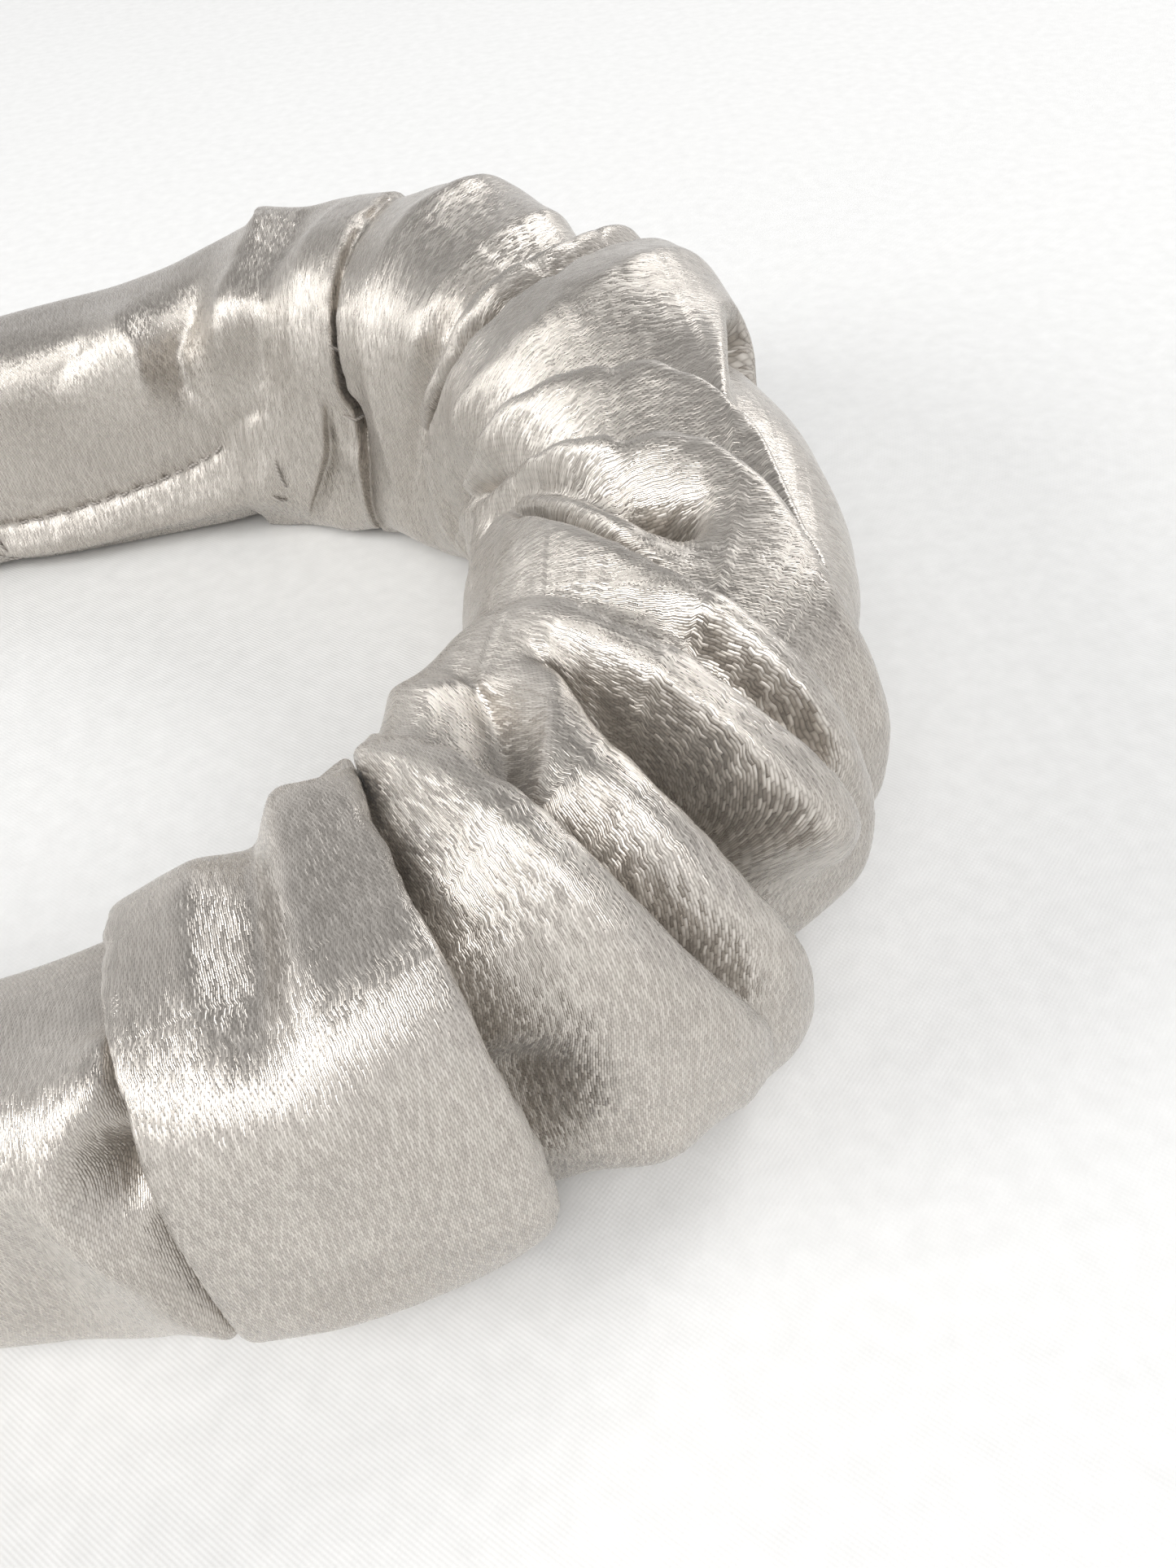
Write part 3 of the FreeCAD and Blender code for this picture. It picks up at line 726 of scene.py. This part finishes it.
def cotton():
    """White plain-weave cotton cloth that the band lies on."""
    n = Nodes("white_cotton")
    coords = n.add("ShaderNodeTexCoord").outputs["Object"]
    split = n.add("ShaderNodeSeparateXYZ", Vector=coords)
    pitch = 2 * math.pi / (0.62 * MM)
    u = n.math("SINE", n.math("MULTIPLY", split.outputs[0], pitch))
    v = n.math("SINE", n.math("MULTIPLY", split.outputs[1], pitch))
    weave = n.math("ADD", n.math("MULTIPLY", n.math("MULTIPLY", u, v), 0.5), 0.5)
    slub = n.noise(coords, 350.0, 3.0)
    height = n.math("ADD", weave, slub)
    colour = n.ramp(slub, [(0.2, (0.755, 0.755, 0.747)), (0.8, (0.825, 0.825, 0.818))])
    n.set(Base_Color=colour, Roughness=0.9, Normal=n.bump(height, 0.05 * MM, 0.5))
    return n.material


def thread_finish():
    """Twisted polyester sewing thread, a shade darker than the satin."""
    n = Nodes("taupe_thread")
    coords = n.add("ShaderNodeTexCoord").outputs["Object"]
    twist = n.add("ShaderNodeTexWave", Scale=900.0, Distortion=2.0)
    twist.bands_direction = "DIAGONAL"
    n.feed(twist.inputs["Vector"], coords)
    colour = n.ramp(twist.outputs["Fac"], [(0.2, (0.20, 0.18, 0.16)), (0.8, (0.42, 0.385, 0.35))])
    n.set(Base_Color=colour, Roughness=0.45, Sheen_Weight=0.3)
    n.set(Normal=n.bump(twist.outputs["Fac"], 0.03 * MM))
    return n.material


def paint(piece, material):
    """Gives a piece one material."""
    piece.data.materials.clear()
    piece.data.materials.append(material)


# ---- the pieces ----
class Surface:
    """Looks up points on the folded cover."""

    def __init__(self, grid, places, angles):
        self.grid, self.places, self.angles = grid, places, angles
        along = np.gradient(grid, axis=0)
        around = (np.roll(grid, -1, axis=1) - np.roll(grid, 1, axis=1)) / 2
        normal = np.cross(along, around)
        self.normal = normal / np.linalg.norm(normal, axis=2, keepdims=True)

    def point(self, s, degrees, lift=0.0):
        """A place on the cover, in millimetres, lifted off it along its outward direction."""
        column = int(np.argmin(np.abs(wrap_angle(self.angles - degrees))))
        row = int(np.clip(np.searchsorted(self.places[:, column], s), 2, len(self.grid) - 3))
        out = self.normal[row - 2:row + 3, column].mean(0)
        return self.grid[row, column] + out / np.linalg.norm(out) * lift


def make_cover(grid, fabric):
    """The whole satin tube, with its weave coordinates in metres of cloth."""
    us = fabric * MM
    vs = np.linspace(0, PERIMETER * MM, grid.shape[1] + 1)
    return grid_mesh("gathered_satin_cover", grid, (us, vs), close_ends=True)


def tunnel(start, end):
    """Room for the spring band, tape and foam through the wadding, as rows by points round."""
    s = np.linspace(start, end, 160)
    turn = np.linspace(0, 2 * math.pi, 40, endpoint=False)
    taper = np.interp(np.abs(s), [125, 187.5], [1.0, 0.45])[:, None]
    c, k = np.cos(turn), np.sin(turn)
    out = (TUNNEL_OUT + TUNNEL_IN) / 2 + (TUNNEL_OUT - TUNNEL_IN) / 2 * np.sign(c) * np.abs(c) ** 0.25
    z = CORE_Z + TUNNEL_HALF * taper * (np.sign(k) * np.abs(k) ** 0.25)[None, :]
    x, y, nx, ny = plan(s)
    x = x + flattening(s)
    return np.stack([x[:, None] + nx[:, None] * out, y[:, None] + ny[:, None] * out, z], -1)


def make_wadding(outside):
    """The fibre filling, with the tunnel for the spring band, tape and foam through it."""
    inside = tunnel(-PAD_END, PAD_END)
    parts, faces, first = [outside.reshape(-1, 3), inside.reshape(-1, 3)], [], 0
    for grid, flip in ((outside, False), (inside, True)):
        rows, count = grid.shape[:2]
        i, j = np.meshgrid(np.arange(rows - 1), np.arange(count), indexing="ij")
        a, b = first + i * count + j, first + i * count + (j + 1) % count
        quads = np.stack([a, a + count, b + count, b], -1).reshape(-1, 4)
        faces += (quads[:, ::-1] if flip else quads).tolist()
        first += rows * count
    mesh = bpy.data.meshes.new("fibre_wadding")
    mesh.from_pydata((np.vstack(parts) * MM).tolist(), [], faces)
    close_rings(mesh, outside)
    return smooth_piece("fibre_wadding", mesh)


def close_rings(mesh, outside):
    """Joins the outer and inner surfaces at both ends of the wadding."""
    work = bmesh.new()
    work.from_mesh(mesh)
    open_edges = [e for e in work.edges if e.is_boundary]
    middle = (outside[0].mean(0)[1] + outside[-1].mean(0)[1]) / 2 * MM
    for side in (-1, 1):
        edges = [e for e in open_edges if (e.verts[0].co.y - middle) * side > 0]
        bmesh.ops.bridge_loops(work, edges=edges)
    bmesh.ops.recalc_face_normals(work, faces=work.faces)
    work.to_mesh(mesh)
    work.free()


def thread_loops(name, paths, radius):
    """Short lengths of thread as closed tubes along paths, in millimetres."""
    verts, faces, count = [], [], 8
    for path in paths:
        path = np.asarray(path, float)
        t = np.linspace(0, len(path) - 1, 13)
        line = np.stack([np.interp(t, np.arange(len(path)), path[:, k]) for k in range(3)], -1)
        for _ in range(2):
            line[1:-1] = (line[:-2] + 2 * line[1:-1] + line[2:]) / 4
        ahead = np.gradient(line, axis=0)
        ahead /= np.linalg.norm(ahead, axis=1, keepdims=True)
        side = np.cross(ahead, (0.13, 0.27, 0.95))
        side /= np.linalg.norm(side, axis=1, keepdims=True)
        up = np.cross(side, ahead)
        first = len(verts)
        for i in range(len(line)):
            thin = radius * (0.6 if i in (0, len(line) - 1) else 1.0)
            for j in range(count):
                a = 2 * math.pi * j / count
                verts.append(line[i] + thin * (math.cos(a) * side[i] + math.sin(a) * up[i]))
        for i in range(len(line) - 1):
            for j in range(count):
                a, b = first + i * count + j, first + i * count + (j + 1) % count
                faces.append((a, b, b + count, a + count))
        faces.append(tuple(first + j for j in reversed(range(count))))
        faces.append(tuple(first + (len(line) - 1) * count + j for j in range(count)))
    mesh = bpy.data.meshes.new(name)
    mesh.from_pydata([tuple(v * MM) for v in verts], [], faces)
    return smooth_piece(name, mesh)


def seam_paths(surface, sign):
    """Paths of the machine stitches along one arm's seam."""
    keys = np.array(SEAM_ANGLE, float)
    paths = []
    for s in np.arange(SEAM_START, SEAM_END, STITCH_PITCH):
        angles = np.interp([s, s + STITCH_LEN / 2, s + STITCH_LEN], keys[:, 0], keys[:, 1])
        steps = ((0.0, 0.0), (STITCH_LEN / 2, THREAD_R), (STITCH_LEN, 0.0))
        paths.append([surface.point(sign * (s + ds), angle, lift)
                      for (ds, lift), angle in zip(steps, angles)])
    return paths


def tack_paths(surface, sign):
    """Paths of the hand tacks that hold the gathers down on one half."""
    paths = []
    for s, degrees, length, lean in TACKS:
        a = math.radians(lean)
        ds, da = length / 2 * math.cos(a), length / 2 * math.sin(a) / MM_PER_DEGREE
        paths.append([surface.point(sign * (s + k * ds), degrees - k * da, TACK_LIFT - TACK_LIFT * abs(k))
                      for k in (-1.0, -0.5, 0.0, 0.5, 1.0)])
    return paths


def whip_paths(sign):
    """Paths of the slanting stitches that join one cap to the cover."""
    paths = []
    for i in range(WHIP_COUNT):
        degrees = 360.0 * (i + 0.5) / WHIP_COUNT
        steps = ((-1.6, 0.0, 0.15), (-0.6, 1.5, -0.55), (0.4, 3.0, -0.75), (1.6, 5.0, -0.45))
        paths.append([tube_point(sign * (COVER_END + ds), degrees + da, inset) for ds, da, inset in steps])
    return paths


PLEATS = 17                # fine pleats round each tip cap


def make_cap(name, sign):
    """Gathered satin cap over a tip: fine pleats run in to a flat button of fabric at the end."""
    turn = np.linspace(0, 360, 144, endpoint=False)
    reach = np.linspace(0, 1, 40)
    rows = []
    for t in reach:
        s = COVER_END + 0.1 + (CAP_END - COVER_END - 0.1) * math.sin(t * math.pi / 2)
        ring = tube_point(sign * s, turn, -0.35)
        centre = ring.mean(0)
        slant = 0.6 * np.sin(t * 5)
        pleat = 1 + 0.035 * math.sin(t * math.pi) ** 0.6 * np.sin(np.radians(turn) * PLEATS + slant)
        scale = ((1 - t ** 3.2) ** 0.5 * pleat + 0.02)[:, None]
        rows.append(centre + (ring - centre) * scale)
    grid = np.array(rows)
    if sign < 0:
        grid = grid[::-1]
    us, vs = np.linspace(0, 0.012, len(grid))[:, None], np.linspace(0, 0.06, len(turn) + 1)
    return grid_mesh(name, grid, (us, vs), close_ends=True)


def make_stage():
    """The white cotton that the band lies on."""
    corner = np.array([[-2, -2], [2, -2], [2, 2], [-2, 2]], float)
    mesh = bpy.data.meshes.new("cotton_cloth")
    mesh.from_pydata([(x, y, 0.0) for x, y in corner], [], [(0, 1, 2, 3)])
    cloth = bpy.data.objects.new("cotton_cloth", mesh)
    bpy.context.scene.collection.objects.link(cloth)
    paint(cloth, cotton())


def area_light(name, place, size, watts, colour=(1, 1, 1)):
    """A round soft light that points at the middle of the band."""
    light = bpy.data.lights.new(name, "AREA")
    light.shape = "DISK"
    light.size, light.energy, light.color = size, watts, colour
    lamp = bpy.data.objects.new(name, light)
    lamp.location = place
    lamp.rotation_euler = (-Vector(place)).to_track_quat("-Z", "Y").to_euler()
    bpy.context.scene.collection.objects.link(lamp)


def make_lights():
    """A soft bright room, darker overhead, with two windows and a fill from behind."""
    world = bpy.data.worlds.new("soft_room")
    world.use_nodes = True
    tree = world.node_tree
    background = tree.nodes["Background"]
    coords = tree.nodes.new("ShaderNodeTexCoord")
    split = tree.nodes.new("ShaderNodeSeparateXYZ")
    ramp = tree.nodes.new("ShaderNodeValToRGB")
    tree.links.new(coords.outputs["Generated"], split.inputs[0])
    tree.links.new(split.outputs[2], ramp.inputs[0])
    tree.links.new(ramp.outputs[0], background.inputs["Color"])
    stops = [(0.0, 1.0), (0.20, 0.95), (0.45, 0.56), (0.8, 0.30)]
    while len(ramp.color_ramp.elements) < len(stops):
        ramp.color_ramp.elements.new(0.5)
    for element, (place, value) in zip(ramp.color_ramp.elements, stops):
        element.position, element.color = place, (value, value, value * 1.01, 1.0)
    background.inputs["Strength"].default_value = 1.0
    bpy.context.scene.world = world
    area_light("window", (-0.16, -1.06, 1.20), 1.20, 15.4, (1.0, 0.995, 0.985))
    area_light("side_window", (-1.34, -0.32, 0.84), 0.74, 12.0, (1.0, 0.998, 0.99))
    area_light("back_fill", (0.90, 0.60, 0.90), 0.60, 6.8)


# The camera's place and target in millimetres, from the centre of the crown's circle, and a small roll.
# A scratch script worked them out from the photo, for a lens and a viewing angle chosen by hand.
CAMERA_AT = (31.74, -129.62, 120.0)
CAMERA_TO = (42.53, -14.23, 0.0)
CAMERA_ROLL, LENS = -6.5, 29.89


def make_camera():
    """The scene's camera, above the near arm and looking down at the crown."""
    data = bpy.data.cameras.new("camera")
    data.lens, data.sensor_width, data.sensor_fit = LENS, 36.0, "AUTO"
    data.clip_start = 0.005
    camera = bpy.data.objects.new("camera", data)
    shift = Vector((CROWN_X, 0, 0))
    place, target = (Vector(CAMERA_AT) + shift) * MM, (Vector(CAMERA_TO) + shift) * MM
    camera.location = place
    turn = (target - place).to_track_quat("-Z", "Y")
    camera.rotation_euler = (turn.to_matrix() @ roll_matrix(CAMERA_ROLL)).to_euler()
    bpy.context.scene.collection.objects.link(camera)
    bpy.context.scene.camera = camera


def roll_matrix(degrees):
    """A turn about the camera's line of sight."""
    a = math.radians(degrees)
    c, k = math.cos(a), math.sin(a)
    return Matrix(((c, -k, 0), (k, c, 0), (0, 0, 1)))


def finish_inner_nodes():
    """Materials for the pieces that the wadding and satin hide."""
    finishes = {
        "band_core": plain("moulded_band_plastic", (0.62, 0.60, 0.56), (0.70, 0.68, 0.64), 0.38, 220.0,
                           0.02 * MM),
        "adhesive_tape": plain("tape_carrier", (0.66, 0.62, 0.50), (0.74, 0.70, 0.58), 0.55, 900.0,
                               0.03 * MM),
        "foam_pad": plain("open_cell_foam", (0.70, 0.69, 0.66), (0.86, 0.85, 0.82), 0.95, 1400.0,
                          0.25 * MM),
        "seam_allowance": plain("satin_reverse", (0.42, 0.385, 0.35), (0.50, 0.46, 0.42), 0.6, 2600.0,
                                0.05 * MM, 0.3),
    }
    for name, material in finishes.items():
        for side in ("_left", "_right"):
            paint(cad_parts[name + side], material)


def main():
    """Builds every piece and gives each its material, puts the caps and stitches on their half's body, and
    hides the CAD parts that the new pieces replace.
    """
    bpy.context.scene.view_settings.view_transform = "Standard"
    make_camera()
    grid, places, angles, fabric, filling = folded_cover()
    surface = Surface(grid, places, angles)
    gloss = satin()
    fibre = plain("fibre_wadding_white", (0.78, 0.78, 0.76), (0.90, 0.90, 0.88), 0.95, 1100.0, 0.4 * MM, 0.4)
    thread = thread_finish()
    cover = make_cover(grid, fabric)
    paint(cover, gloss)
    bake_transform(cover)
    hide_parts("satin_cover_left", "satin_cover_right")
    wadding = make_wadding(filling)
    paint(wadding, fibre)
    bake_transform(wadding)
    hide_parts("wadding_roll_left", "wadding_roll_right")
    for side, sign in (("left", 1), ("right", -1)):
        cap = make_cap("gathered_tip_cap_" + side, sign)
        paint(cap, gloss)
        threads = {
            "seam_stitch": seam_paths(surface, sign),
            "tack_stitch": tack_paths(surface, sign),
            "whip_stitch": whip_paths(sign),
        }
        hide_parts("tip_cap_" + side)
        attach(cap, side + "_half")
        for kind, paths in threads.items():
            piece = thread_loops(kind + "_row_" + side, paths, THREAD_R)
            paint(piece, thread)
            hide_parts(kind + "es_" + side)
            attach(piece, side + "_half")
    finish_inner_nodes()
    make_stage()
    make_lights()


main()
